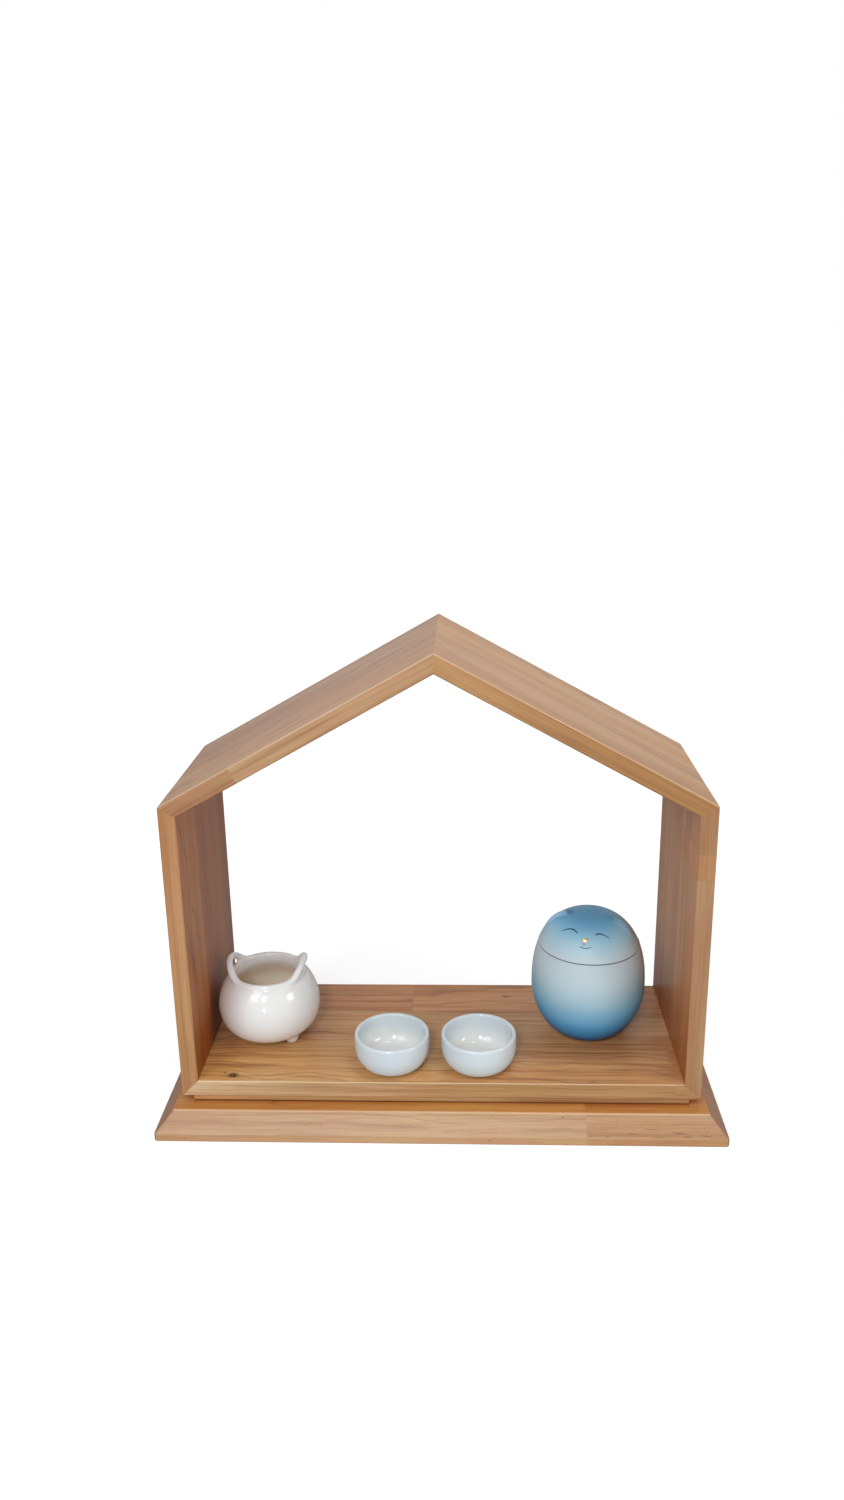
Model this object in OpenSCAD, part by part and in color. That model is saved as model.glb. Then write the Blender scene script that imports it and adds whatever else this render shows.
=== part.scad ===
// Pet memorial shrine: an open house of edge-glued boards on a bevelled plinth,
// with an incense burner, two offering bowls and a lidded urn standing on its floor.
// Millimetres. Origin at the centre of the plinth's underside, the front faces -Y, Z is up.

/* [House] */
// Width across the outside of the walls
house_w = 460; // [430:5:600]
// Height of the eaves above the underside of the house
eave_h = 274; // [220:1:360]
// Rise of the ridge above the eaves
roof_rise = 128; // [60:1:200]
// Depth from front to back
house_d = 176; // [160:1:260]
// Thickness of the floor, wall and roof boards
board_t = 15; // [10:0.5:22]

/* [Base] */
// How far the plinth's flat top reaches past each wall
plinth_side_reach = 6; // [2:0.5:20]
// How far the plinth's flat top reaches past the front and back
plinth_end_reach = 13.5; // [2:0.5:30]
// Horizontal run of the plinth's bevel
bevel_run = 14.5; // [5:0.5:25]
// Height of the plinth's bevel
bevel_h = 15.5; // [5:0.5:25]
// Height of the upright edge below the bevel
plinth_edge_h = 7.5; // [3:0.5:20]
// Thickness of the riser board between plinth and house
riser_t = 5; // [2:0.5:12]
// How far the riser stands back from the sides of the house
riser_side_inset = 10; // [2:0.5:30]
// How far the riser stands back from the front and back of the house
riser_end_inset = 1; // [0.5:0.5:20]

/* [Incense burner] */
// Greatest radius of the pot
burner_r = 47.8; // [40:0.2:56]
// Height of the greatest radius above the floor
burner_mid_h = 35; // [28:0.5:42]
// Height of the rim above the floor
burner_h = 67; // [58:0.5:80]
// Radius of the middle of the rim's bead
rim_r = 33.4; // [28:0.2:36]
// Radius of the rim's bead
rim_bead_r = 2.6; // [2:0.1:3.2]
// Radius of the pot's flat underside
burner_base_r = 18; // [12:0.5:22]
// Clearance between the floor and the pot's underside
burner_base_lift = 4.5; // [3:0.5:8]
// Thickness of the pot's wall
burner_wall = 4; // [3:0.2:5]
// Gap between the pot and the left wall
burner_wall_gap = 4; // [2:0.5:20]
// Distance of the pot's centre behind the middle of the house
burner_back = -3; // [-30:1:30]
// Radius of the clay rod of each handle
handle_rod_r = 3.4; // [2.4:0.1:3.8]
// Radius of the arc that each handle follows
handle_arc_r = 19; // [16:0.5:22]
// Rise of the handle's arc above the rim
handle_rise = 14; // [10:0.1:17]
// Outward lean of the handles
handle_lean = 22; // [10:1:35]
// Radius of each foot where it meets the pot
foot_r = 6.6; // [5:0.1:8]
// Radius of each foot's flat tip
foot_tip_r = 4; // [2.5:0.1:4.5]
// Distance of each foot from the pot's axis
foot_circle_r = 31; // [24:0.5:32]
// Bearing of the right foot, anticlockwise from +X
foot_angle = -40; // [-50:1:-30]
// Turn from the right foot round the front to the left one
foot_spread = 103; // [90:1:120]

/* [Bowls] */
// Greatest radius of each bowl
bowl_r = 34; // [28:0.5:40]
// Height of the greatest radius above the floor
bowl_mid_h = 20.5; // [15:0.5:23]
// Height of each bowl
bowl_h = 31.5; // [27:0.5:40]
// Radius of the middle of each bowl's rounded lip
lip_r = 31.9; // [26:0.1:32.2]
// Half the thickness of the lip and wall
lip_half = 1.7; // [1.2:0.1:2.2]
// Radius of each bowl's flat underside
bowl_base_r = 22; // [16:0.5:24]
// Thickness of each bowl's bottom
bowl_bottom = 5; // [3:0.5:7]
// Gap between the two bowls
bowl_gap = 10.5; // [5:0.5:30]
// Distance from the front of the floor to the bowls' undersides
bowl_edge_gap = 11; // [8:0.5:40]
// Sideways place of the middle of the pair, from the middle of the house
bowl_shift = -4; // [-20:1:20]

/* [Urn] */
// Greatest radius of the urn
urn_r = 53; // [46:0.5:58]
// Height of the greatest radius above the floor
urn_mid_h = 48.5; // [42:0.5:55]
// Height of the urn with its lid on
urn_h = 121; // [112:0.5:135]
// Height of the seam between body and lid
seam_h = 90; // [82:0.5:95]
// Radius of the urn's flat underside
urn_base_r = 22.5; // [18:0.5:28]
// Thickness of the urn's wall
urn_wall = 4.5; // [3.5:0.1:6]
// Gap between the urn and the right wall
urn_wall_gap = 23; // [5:0.5:40]
// Distance of the urn's centre behind the middle of the house
urn_back = 8; // [-20:1:25]
// Chamfer of the edges that meet at the seam
seam_chamfer = 0.8; // [0.4:0.1:1.5]
// Gap between the lid and the rim it rests on
seam_gap = 0.3; // [0.2:0.05:0.6]
// Depth of the lid's spigot below the seam
spigot_h = 8; // [5:0.5:14]
// Thickness of the lid's spigot
spigot_t = 3; // [2:0.1:4]
// Clearance between the spigot and the urn's mouth
spigot_clearance = 0.8; // [0.4:0.1:1.5]
// Bearing of the face from the front, towards the right
face_turn = -12; // [-30:1:30]
// How far the ears stand below the top of the lid
ear_drop = 9.5; // [7:0.5:14]
// Radius of the round of each ear
ear_r = 9; // [6:0.5:12]
// How far each ear stands out of the lid
ear_out = 2.6; // [1:0.1:4]
// Bearing of each ear from the middle of the face
ear_turn = 78; // [60:1:100]
// How far the nose is below the top of the lid
nose_drop = 12.5; // [10:0.5:18]
// Radius of the gilded bead of the nose
nose_r = 2.3; // [1.5:0.1:3]

/* [Hidden] */
$fn = 96;

// Edges of the three staves of each board, as shares of its depth from the front
floor_staves = [0, 0.37, 0.7, 1];
left_wall_staves = [0, 0.36, 0.68, 1];
right_wall_staves = [0, 0.41, 0.72, 1];
left_roof_staves = [0, 0.42, 0.705, 1];
right_roof_staves = [0, 0.3, 0.48, 1];
// Bulge exponents of the turned outlines: 2 is an ellipse, more is squarer.
burner_low_p = 2.3;
burner_top_p = 1.5;
bowl_p = 2;
urn_low_p = 1.76;
urn_top_p = 2.45;
// Straight steps in each curved stretch of a turned outline
steps = 14;
// Share of each foot's height that the round of its tip takes
foot_round = 0.6;
// Reach of the solids that only cut others
past = 1;

plinth_h = plinth_edge_h + bevel_h;
plinth_w = house_w + 2 * (plinth_side_reach + bevel_run);
plinth_d = house_d + 2 * (plinth_end_reach + bevel_run);
plinth_stave_w = plinth_d / 4;
house_z = plinth_h + riser_t;
floor_z = house_z + board_t;
inner_w = house_w - 2 * board_t;
pitch = atan(roof_rise / (house_w / 2));
// Height of the roof boards' undersides where they meet the walls and each other
inner_eave_h = eave_h + board_t * tan(pitch) - board_t / cos(pitch);
inner_ridge_h = eave_h + roof_rise - board_t / cos(pitch);

burner_x = -inner_w / 2 + burner_wall_gap + burner_r;
bowl_y = -house_d / 2 + bowl_edge_gap + bowl_base_r;
bowl_reach = bowl_gap / 2 + bowl_r;
urn_x = inner_w / 2 - urn_wall_gap - urn_r;
foot_h = burner_mid_h / 2;
mouth_r = urn_turn(urn_wall, top_angle(seam_h, urn_wall))[0];

// ---- Outlines ----

// A quarter bulge from the edge of a flat base [r0, z0] out to the greatest radius [r1, z1]
function swell(r0, z0, r1, z1, p) = [for (i = [0:steps]) let (a = 90 * i / steps)
    [r0 + (r1 - r0) * pow(sin(a), 2 / p), z1 - (z1 - z0) * pow(cos(a), 2 / p)]];

// The quarter above it, from the greatest radius [r1, z1] in to [r2, z2]
function draw_in(r1, z1, r2, z2, p) = [for (i = [0:steps]) let (a = 90 * i / steps)
    [r2 + (r1 - r2) * pow(cos(a), 2 / p), z1 + (z2 - z1) * pow(sin(a), 2 / p)]];

// A round lip of radius r about [x, z], from its outer side over the top to its inner side
function lip(x, z, r) = [for (i = [1:steps - 1]) let (a = 180 * i / steps)
    [x + r * cos(a), z + r * sin(a)]];

function backwards(points) = [for (i = [len(points) - 1:-1:0]) points[i]];

// The urn's outline above its greatest radius, inset by a wall, at angle a from 0 to 90
function urn_turn(inset, a) = [(urn_r - inset) * pow(cos(a), 2 / urn_top_p),
    urn_mid_h + (urn_h - inset - urn_mid_h) * pow(sin(a), 2 / urn_top_p)];

// The angle at which that outline passes height z
function top_angle(z, inset) = asin(pow((z - urn_mid_h) / (urn_h - inset - urn_mid_h), urn_top_p / 2));

function urn_curve(inset, a0, a1) = [for (i = [0:steps]) urn_turn(inset, a0 + (a1 - a0) * i / steps)];

// ---- House ----

// Stave number place of a board, 0 at the front: the board's end profile run between two of its edges
module stave(profile, edges, place)
    translate([0, (edges[place + 1] - 0.5) * house_d, house_z]) rotate([90, 0, 0])
        linear_extrude(height = (edges[place + 1] - edges[place]) * house_d) polygon(profile);

module house_floor(place) color("peru")
    stave([[-house_w / 2, 0], [house_w / 2, 0], [inner_w / 2, board_t], [-inner_w / 2, board_t]],
        floor_staves, place);

// side is 1 for the right and -1 for the left
module wall(side, place) color("sienna")
    stave([[side * house_w / 2, 0], [side * house_w / 2, eave_h],
        [side * inner_w / 2, inner_eave_h], [side * inner_w / 2, board_t]],
        side > 0 ? right_wall_staves : left_wall_staves, place);

module roof(side, place) color("burlywood")
    stave([[side * house_w / 2, eave_h], [0, eave_h + roof_rise],
        [0, inner_ridge_h], [side * inner_w / 2, inner_eave_h]],
        side > 0 ? right_roof_staves : left_roof_staves, place);

// ---- Base ----

function bevelled(w) = [[-w / 2, 0], [w / 2, 0], [w / 2, plinth_edge_h],
    [w / 2 - bevel_run, plinth_h], [bevel_run - w / 2, plinth_h], [-w / 2, plinth_edge_h]];

module plinth(place) color("tan") intersection() {
    rotate([90, 0, 0]) linear_extrude(height = plinth_d, center = true) polygon(bevelled(plinth_w));
    rotate([90, 0, 90]) linear_extrude(height = plinth_w, center = true) polygon(bevelled(plinth_d));
    translate([-plinth_w, place * plinth_stave_w - plinth_d / 2, -past])
        cube([2 * plinth_w, plinth_stave_w, plinth_h + 2 * past]);
}

module riser_board() color("saddlebrown")
    translate([riser_side_inset - house_w / 2, riser_end_inset - house_d / 2, plinth_h])
        cube([house_w - 2 * riser_side_inset, house_d - 2 * riser_end_inset, riser_t]);

// ---- Incense burner ----

module at_burner() translate([burner_x, burner_back, floor_z]) children();

burner_outside = concat(
    swell(burner_base_r, burner_base_lift, burner_r, burner_mid_h, burner_low_p),
    draw_in(burner_r, burner_mid_h, rim_r + rim_bead_r, burner_h - rim_bead_r, burner_top_p),
    lip(rim_r, burner_h - rim_bead_r, rim_bead_r));
burner_inside = concat(
    swell(burner_base_r, burner_base_lift + burner_wall,
        burner_r - burner_wall, burner_mid_h, burner_low_p),
    draw_in(burner_r - burner_wall, burner_mid_h,
        rim_r - rim_bead_r, burner_h - rim_bead_r, burner_top_p));

// The pot as if it were full to the brim
module filled_burner() rotate_extrude()
    polygon(concat([[0, burner_base_lift]], burner_outside, [[0, burner_h]]));

module burner_pot() color("ivory") at_burner() rotate_extrude()
    polygon(concat([[0, burner_base_lift]], burner_outside, backwards(burner_inside),
        [[0, burner_base_lift + burner_wall]]));

// An arch of clay rod that stands on the rim and leans outwards
module burner_handle(side) color("ivory") at_burner() difference() {
    translate([side * (rim_r - handle_rod_r), 0, burner_h - rim_bead_r]) rotate([0, side * handle_lean, 0])
        translate([0, 0, handle_rise - handle_arc_r]) rotate([90, 0, 90])
            rotate_extrude(angle = 180) translate([handle_arc_r, 0]) circle(r = handle_rod_r);
    filled_burner();
}

module burner_foot(angle) color("ivory") at_burner() difference() {
    rotate([0, 0, angle]) translate([foot_circle_r, 0, 0]) rotate_extrude()
        polygon(concat([[0, 0]],
            swell(foot_tip_r, 0, foot_r, foot_h * foot_round, bowl_p), [[foot_r, foot_h], [0, foot_h]]));
    filled_burner();
}

// ---- Bowls ----

module bowl(side) color("whitesmoke")
    translate([bowl_shift + side * bowl_reach, bowl_y, floor_z]) rotate_extrude()
        polygon(concat([[0, 0]],
            swell(bowl_base_r, 0, bowl_r, bowl_mid_h, bowl_p),
            draw_in(bowl_r, bowl_mid_h, lip_r + lip_half, bowl_h - lip_half, bowl_p),
            lip(lip_r, bowl_h - lip_half, lip_half),
            backwards(swell(bowl_base_r - lip_half, bowl_bottom,
                lip_r - lip_half, bowl_h - lip_half, bowl_p)),
            [[0, bowl_bottom]]));

// ---- Urn ----

module at_urn() translate([urn_x, urn_back, floor_z]) children();

seam_r = urn_turn(0, top_angle(seam_h, 0))[0];

module urn_body() color("lightsteelblue") at_urn() rotate_extrude()
    polygon(concat([[0, 0]],
        swell(urn_base_r, 0, urn_r, urn_mid_h, urn_low_p),
        urn_curve(0, 0, top_angle(seam_h - seam_chamfer, 0)),
        [[seam_r - seam_chamfer, seam_h], [mouth_r, seam_h]],
        backwards(urn_curve(urn_wall, 0, top_angle(seam_h, urn_wall))),
        backwards(swell(urn_base_r, urn_wall, urn_r - urn_wall, urn_mid_h, urn_low_p)),
        [[0, urn_wall]]));

lid_z = seam_h + seam_gap;
spigot_r = mouth_r - spigot_clearance;
// Angle at which the hollow of the lid narrows below the inside of the spigot
hollow_angle = acos(pow((spigot_r - spigot_t) / (urn_r - urn_wall), urn_top_p / 2));

// The dome of the lid, closed underneath
module lid_dome() rotate_extrude()
    polygon(concat([[0, lid_z], [seam_r - seam_chamfer, lid_z]],
        urn_curve(0, top_angle(lid_z + seam_chamfer, 0), 90)));

ear_angle = top_angle(urn_h - ear_drop, 0);
ear_point = urn_turn(0, ear_angle);
// Direction along the outline at the ear, and so the direction straight out of it
ear_run = urn_turn(0, ear_angle + 1) - ear_point;
ear_normal = [ear_run[1], -ear_run[0]] / norm(ear_run);
ear_centre = ear_point - (ear_r - ear_out) * ear_normal;

module urn_lid() color("steelblue") at_urn() difference() {
    union() {
        lid_dome();
        translate([0, 0, seam_h - spigot_h]) cylinder(h = spigot_h + seam_gap + past, r = spigot_r);
        for (side = [-1, 1]) rotate([0, 0, face_turn + side * ear_turn - 90])
            translate([ear_centre[0], 0, ear_centre[1]]) sphere(r = ear_r);
    }
    rotate_extrude() polygon(concat(
        [[0, seam_h - spigot_h - past], [spigot_r - spigot_t, seam_h - spigot_h - past]],
        urn_curve(urn_wall, hollow_angle, 90)));
}

nose_h = urn_h - nose_drop;
nose_angle = top_angle(nose_h, 0);

module urn_nose() color("gold") at_urn() difference() {
    rotate([0, 0, face_turn - 90])
        translate([urn_turn(0, nose_angle)[0], 0, nose_h]) sphere(r = nose_r);
    lid_dome();
}

plinth(0);  // plinth_front
plinth(1);  // plinth_mid_front
plinth(2);  // plinth_mid_back
plinth(3);  // plinth_back
riser_board();
house_floor(0);  // floor_front
house_floor(1);  // floor_middle
house_floor(2);  // floor_back
wall(-1, 0);  // left_wall_front
wall(-1, 1);  // left_wall_middle
wall(-1, 2);  // left_wall_back
wall(1, 0);  // right_wall_front
wall(1, 1);  // right_wall_middle
wall(1, 2);  // right_wall_back
roof(-1, 0);  // left_roof_front
roof(-1, 1);  // left_roof_middle
roof(-1, 2);  // left_roof_back
roof(1, 0);  // right_roof_front
roof(1, 1);  // right_roof_middle
roof(1, 2);  // right_roof_back
burner_pot();
burner_handle(-1);  // burner_left_handle
burner_handle(1);  // burner_right_handle
burner_foot(foot_angle - foot_spread);  // burner_left_foot
burner_foot(foot_angle);  // burner_right_foot
burner_foot(foot_angle + 180 - foot_spread / 2);  // burner_back_foot
bowl(-1);  // left_bowl
bowl(1);  // right_bowl
urn_body();
urn_lid();
urn_nose();
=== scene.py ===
from math import asin, atan2, cos, hypot, pi, radians, sin

import bmesh
import bpy
from mathutils import Matrix, Vector


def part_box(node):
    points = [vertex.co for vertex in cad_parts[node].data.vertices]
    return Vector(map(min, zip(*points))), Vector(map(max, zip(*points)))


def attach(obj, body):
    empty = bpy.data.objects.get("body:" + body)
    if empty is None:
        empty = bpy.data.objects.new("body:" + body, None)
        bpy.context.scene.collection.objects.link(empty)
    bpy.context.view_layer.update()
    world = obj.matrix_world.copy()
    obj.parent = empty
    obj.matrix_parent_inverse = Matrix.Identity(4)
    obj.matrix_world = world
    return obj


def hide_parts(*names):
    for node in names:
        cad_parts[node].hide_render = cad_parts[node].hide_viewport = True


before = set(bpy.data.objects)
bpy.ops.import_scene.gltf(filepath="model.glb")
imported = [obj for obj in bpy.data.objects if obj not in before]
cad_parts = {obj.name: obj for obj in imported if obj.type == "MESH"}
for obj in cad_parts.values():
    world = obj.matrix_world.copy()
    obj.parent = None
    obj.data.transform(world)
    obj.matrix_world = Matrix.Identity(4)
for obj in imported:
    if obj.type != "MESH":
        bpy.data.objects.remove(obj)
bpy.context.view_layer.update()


# Helpers for meshes. Lengths are metres, and mm turns the sizes of small things into them.

mm = 0.001


def span(*nodes):
    lows, highs = zip(*[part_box(node) for node in nodes])
    return Vector([min(values) for values in zip(*lows)]), Vector([max(values) for values in zip(*highs)])


def standingPoint(node):
    # Where a vessel's axis meets the floor of the house
    low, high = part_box(node)
    return Vector(((low.x + high.x) / 2, (low.y + high.y) / 2, floorTop))


def addObject(name, data):
    made = bpy.data.objects.new(name, data)
    bpy.context.scene.collection.objects.link(made)
    return made


def meshOf(bm, name="part"):
    mesh = bpy.data.meshes.new(name)
    bm.to_mesh(mesh)
    bm.free()
    return mesh


def newPiece(name, bm, materials, body, nodes, smooth=True):
    mesh = meshOf(bm, name)
    for material in materials:
        mesh.materials.append(material)
    if smooth:
        mesh.shade_smooth()
    piece = addObject(name, mesh)
    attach(piece, body)
    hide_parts(*nodes)
    return piece


def woodPiece(name, bm, material, node):
    piece = newPiece(name, bm, [material], "shrine", [node], smooth=False)
    piece.modifiers.new("evenShading", "WEIGHTED_NORMAL").keep_sharp = True


def sharpConvexEdges(bm, least=radians(20)):
    return [edge for edge in bm.edges
            if len(edge.link_faces) == 2 and edge.calc_face_angle_signed() > least]


def easeEdges(bm, edges, width, segments, paintedEdgeLight=True):
    arris = bm.faces.layers.float.get("arris") or bm.faces.layers.float.new("arris")
    made = bmesh.ops.bevel(bm, geom=edges, offset=width, segments=segments, profile=0.5,
                           affect="EDGES", material=-1, clamp_overlap=True)
    # The arris mark carries painted light: 1 for a painted highlight, -1 for painted shade
    for face in made["faces"]:  # 1 where the eased edge looks up and forward, -1 where it looks down
        face.normal_update()
        towardLight = min(max(-face.normal.y, 0) / 0.5, 1.0) if face.normal.z > 0 else 1.0
        face[arris] = max(min(face.normal.z / 0.6, 1.0), -1.0) * towardLight if paintedEdgeLight else 0.0
        face.smooth = True


def keepSide(bm, point, towards):
    # Cuts off what lies behind the plane, and closes the cut
    geometry = bm.verts[:] + bm.edges[:] + bm.faces[:]
    cut = bmesh.ops.bisect_plane(bm, geom=geometry, dist=1e-7, plane_co=point,
                                 plane_no=-Vector(towards), clear_outer=True)
    rim = [item for item in cut["geom_cut"] if isinstance(item, bmesh.types.BMEdge)]
    bmesh.ops.edgeloop_fill(bm, edges=rim)


def extrude(bm, faces, way):
    run = bmesh.ops.extrude_face_region(bm, geom=faces)
    verts = [item for item in run["geom"] if isinstance(item, bmesh.types.BMVert)]
    bmesh.ops.translate(bm, verts=verts, vec=way)
    return verts, [item for item in run["geom"] if isinstance(item, bmesh.types.BMFace)]


def smoothVerts(bm, verts):
    bmesh.ops.smooth_vert(bm, verts=verts, factor=0.5, use_axis_x=True, use_axis_y=True, use_axis_z=True)


def turnedShape(points, centre, steps=128):
    # Spins an outline of (radius, height) points round the upright axis through centre
    bm = bmesh.new()
    verts = [bm.verts.new((radius, 0, height)) for radius, height in points]
    edges = [bm.edges.new(pair) for pair in zip(verts, verts[1:])]
    bmesh.ops.spin(bm, geom=verts + edges, cent=(0, 0, 0), axis=(0, 0, 1), angle=2 * pi,
                   steps=steps, use_merge=True, use_duplicate=False)
    bmesh.ops.remove_doubles(bm, verts=bm.verts, dist=1e-6)
    bmesh.ops.recalc_face_normals(bm, faces=bm.faces)
    bmesh.ops.translate(bm, verts=bm.verts, vec=centre)
    return bm


def swell(startRadius, startHeight, endRadius, endHeight, power, steps=24):
    # A quarter bulge from a flat base out to the greatest radius
    turns = [pi / 2 * i / steps for i in range(steps + 1)]
    return [(startRadius + (endRadius - startRadius) * sin(turn) ** (2 / power),
             endHeight - (endHeight - startHeight) * max(cos(turn), 0) ** (2 / power))
            for turn in turns]


def drawIn(startRadius, startHeight, endRadius, endHeight, power, steps=24):
    # The quarter above it, from the greatest radius in to the end
    return swell(endRadius, endHeight, startRadius, startHeight, power, steps)[::-1]


def narrowing(radius, height, topRadius, topHeight, steps=16):
    # An S-shaped outline from a vessel's belly up to its neck
    shares = [i / steps for i in range(1, steps + 1)]
    return [(radius + (topRadius - radius) * share ** 2 * (3 - 2 * share),
             height + (topHeight - height) * share) for share in shares]


def arc(radius, height, size, degrees):
    # Part of a round edge about the point (radius, height) of an outline
    return [(radius + size * cos(radians(turn)), height + size * sin(radians(turn))) for turn in degrees]


def radiusAt(outline, height):
    # How far from the axis an outline passes at a height
    for (radius, low), (nextRadius, high) in zip(outline, outline[1:]):
        if low <= height <= high:
            return radius + (nextRadius - radius) * (height - low) / max(high - low, 1e-9)
    return outline[-1][0]


# Helpers for materials

class Value:
    # A number or colour that a node gives out. Sums with it make further nodes.
    def __init__(self, socket):
        self.socket = socket

    def __abs__(self):
        return calc("ABSOLUTE", self)


for sign, operation in (("add", "ADD"), ("sub", "SUBTRACT"), ("mul", "MULTIPLY"), ("truediv", "DIVIDE")):
    setattr(Value, f"__{sign}__", lambda self, other, operation=operation: calc(operation, self, other))
    setattr(Value, f"__r{sign}__", lambda self, other, operation=operation: calc(operation, other, self))


def feed(node, inputs):
    # Gives a node's inputs the values of other nodes, or plain numbers and colours
    for key, value in inputs.items():
        if isinstance(value, Value):
            node.id_data.links.new(value.socket, node.inputs[key])
        else:
            node.inputs[key].default_value = value


def addNode(tree, kind, inputs=None, **settings):
    made = tree.nodes.new(kind)
    for name, value in settings.items():
        setattr(made, name, value)
    feed(made, inputs or {})
    return made


def work(kind, inputs, output=0, **settings):
    # Adds a node beside the ones that feed it, and returns what it gives out
    tree = next(value.socket.id_data for value in inputs.values() if isinstance(value, Value))
    return Value(addNode(tree, kind, inputs, **settings).outputs[output])


def calc(operation, *inputs, clamp=False):
    return work("ShaderNodeMath", dict(enumerate(inputs)), operation=operation, use_clamp=clamp)


def vectorCalc(operation, *inputs):
    output = "Value" if operation in ("LENGTH", "DOT_PRODUCT") else "Vector"
    return work("ShaderNodeVectorMath", dict(enumerate(inputs)), output, operation=operation)


def squares(a, b):
    return a * a + b * b


def larger(a, b):
    return calc("MAXIMUM", a, b)


def rise(value, low, high, start=0.0, end=1.0):
    # Goes smoothly from start at low to end at high
    return work("ShaderNodeMapRange", {0: value, 1: low, 2: high, 3: start, 4: end},
                interpolation_type="SMOOTHSTEP")


def fall(value, low, high, start=1.0):
    return rise(value, low, high, start, 0.0)


def mix(share, a, b, mode="MIX"):
    # Goes from colour a to colour b
    colours = [colour if isinstance(colour, Value) else (*colour, 1.0) for colour in (a, b)]
    return work("ShaderNodeMix", {0: share, 6: colours[0], 7: colours[1]}, 2,
                data_type="RGBA", blend_type=mode, clamp_factor=True)


def tint(colour, tone, share=1.0):
    return mix(share, colour, tone, "MULTIPLY")


def noise(vector, stretch, detail=2.0, roughness=0.5, offset=(0, 0, 0)):
    # Noise whose grains are as many to the metre as stretch says, along each axis
    place = vectorCalc("MULTIPLY_ADD", vector, stretch, offset)
    return work("ShaderNodeTexNoise", {"Vector": place, "Scale": 1.0, "Detail": detail,
                                       "Roughness": roughness}, "Fac")


def separate(vector):
    made = addNode(vector.socket.id_data, "ShaderNodeSeparateXYZ", {0: vector})
    return [Value(made.outputs[axis]) for axis in range(3)]


def combine(x, y, z):
    return work("ShaderNodeCombineXYZ", {0: x, 1: y, 2: z})


def newMaterial(name):
    # A material, its shader, and the place on the object that its nodes start from
    material = bpy.data.materials.new(name)
    material.use_nodes = True
    tree = material.node_tree
    place = Value(addNode(tree, "ShaderNodeTexCoord").outputs["Object"])
    return material, tree.nodes["Principled BSDF"], place


def meshMark(shader, name):
    # What the mesh says about itself under this name
    return Value(addNode(shader.id_data, "ShaderNodeAttribute", attribute_name=name).outputs["Fac"])


def relief(shader, height, strength, depth):
    bump = work("ShaderNodeBump", {"Strength": strength, "Distance": depth, "Height": height})
    feed(shader, {"Normal": bump})


def lacquer(shader, look):
    feed(shader, {"Specular IOR Level": look["gloss"], "Coat Weight": look["coat"],
                  "Coat Roughness": look["coatRoughness"]})


# Wood. Each stave is cut from its own place in a log: along runs with the grain, across over
# the stave's width and deep into the board.

wood = {
    "pale": (0.62, 0.385, 0.20), "warm": (0.52, 0.28, 0.125), "dark": (0.25, 0.098, 0.034),
    "pinkish": (1.0, 0.95, 0.93), "yellowish": (1.0, 1.01, 0.92),
    "roughness": 0.44, "gloss": 0.24, "coat": 0.08, "coatRoughness": 0.18,
    "lineWidth": 2.0 * mm, "lineRise": 1.2 * mm, "shadeWidth": 4.8 * mm,
    "ringContrast": 0.85, "fibreContrast": 0.30,
    # Painted light: a pale highlight on eased edges that look up and forward, and a dark shade on those that
    # look down and in the corner under the riser
    "arrisHighlight": (0.86, 0.66, 0.46), "arrisHighlightStrength": 0.5, "paintedShade": (0.16, 0.065, 0.028), "arrisShadeStrength": 0.6,
    "glueTint": (0.17, 0.075, 0.03), "glueWidth": 0.35 * mm, "knotTint": (0.035, 0.014, 0.006),
    "markTint": (0.15, 0.060, 0.024),
}

plainCut = {
    "warp": 6 * mm, "waves": 6, "contrast": 1.0, "edgeContrast": 0.6, "streaks": 0.35, "flecks": 0.0,
    "joints": [], "pastTone": None, "knots": [], "marks": [], "zones": [], "edgeTone": None, "edgeZones": [],
    "footShadow": None, "topShade": None, "endShade": None, "shadeBeforeRiser": None,
}


def fingerJoints(along, across, joints):
    # Past each finger joint the stave comes from another part of the log
    pieceNumber, jointLine = 0.0, 0.0
    for at, pitch, length, line in joints:
        fingers = calc("PINGPONG", across, pitch * mm / 2)
        past = along - (fingers * (length * 2 / pitch) + at)
        pieceNumber = pieceNumber + calc("GREATER_THAN", past, 0.0)
        jointLine = larger(jointLine, fall(abs(past), 0.0, line * mm))
    return pieceNumber, jointLine


def knotMark(along, across, knot):
    # How far a knot pushes the grain aside, and how dark it is: a ragged ring round a paler heart
    alongAt, acrossAt, size, stretch, strength = knot
    radius, aside = size * mm, across - acrossAt
    spot = combine((along - alongAt) / stretch, aside, 0.0)
    reach = vectorCalc("LENGTH", spot)
    push = fall(reach, radius * 0.6, radius * 3.5, 0.6) * aside
    wobble = noise(spot, (520, 520, 520), 3, 0.6, (radius * 900, 0, 0))
    ragged = (wobble - 0.5) * (radius * 2.0) + reach
    core = fall(ragged, radius * 0.75, radius * 1.1)
    halo = fall(ragged, radius * 0.9, radius * 1.9, 0.4)
    heart = fall(ragged, radius * 0.15, radius * 0.4, 0.6)
    return push, (larger(core, halo) - heart) * strength


def darkMark(along, across, mark):
    alongAt, acrossAt, length, width, slant, strength = mark
    off = along - alongAt
    side = across - acrossAt - off * slant
    return fall(squares(off / (length * mm / 2), side / (width * mm / 2)), 0.1, 1.4, strength)


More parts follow.
